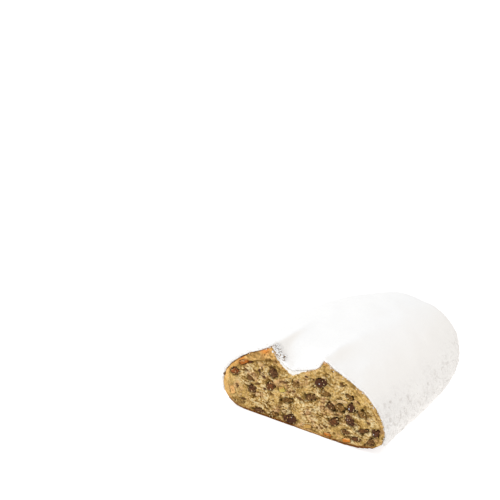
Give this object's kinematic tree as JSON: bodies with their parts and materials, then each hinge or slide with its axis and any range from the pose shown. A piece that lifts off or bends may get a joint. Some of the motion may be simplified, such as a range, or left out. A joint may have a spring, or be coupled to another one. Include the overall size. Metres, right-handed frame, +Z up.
{
  "type": "stollen",
  "caption": "Rounded end half of a stollen fruit loaf, cut straight across, with a slit back, a thick icing sugar coat, and raisins and candied peel in the cut face.",
  "frame": {"origin": "on the table under the middle of the piece's footprint", "axes": "+Y from the cut face to the rounded end, +X to the right as the cut face is seen, +Z up"},
  "size_m": [0.1358, 0.1632, 0.0577],
  "materials": {
    "crumb": "dry open crumb inside a thin browned crust",
    "sugar": "packed icing sugar, powdery and matte",
    "raisin": "dark moist wrinkled skin",
    "orange_peel": "moist candied peel",
    "lemon_peel": "moist candied peel",
    "almond": "blanched nut, waxy"
  },
  "bodies": {
    "root": {"loaf": "crumb", "sugar_coat": "sugar", "raisin_01": "raisin", "raisin_02": "raisin", "raisin_03": "raisin", "raisin_04": "raisin", "raisin_05": "raisin", "raisin_06": "raisin", "raisin_07": "raisin", "raisin_08": "raisin", "raisin_09": "raisin", "raisin_10": "raisin", "raisin_11": "raisin", "raisin_12": "raisin", "raisin_13": "raisin", "raisin_14": "raisin", "raisin_15": "raisin", "raisin_16": "raisin", "raisin_17": "raisin", "raisin_18": "raisin", "raisin_19": "raisin", "raisin_20": "raisin", "raisin_21": "raisin", "raisin_22": "raisin", "raisin_23": "raisin", "raisin_24": "raisin", "orange_peel_01": "orange_peel", "orange_peel_02": "orange_peel", "orange_peel_03": "orange_peel", "orange_peel_04": "orange_peel", "lemon_peel_01": "lemon_peel", "lemon_peel_02": "lemon_peel", "almond_01": "almond", "almond_02": "almond", "almond_03": "almond"}
  },
  "joints": []
}
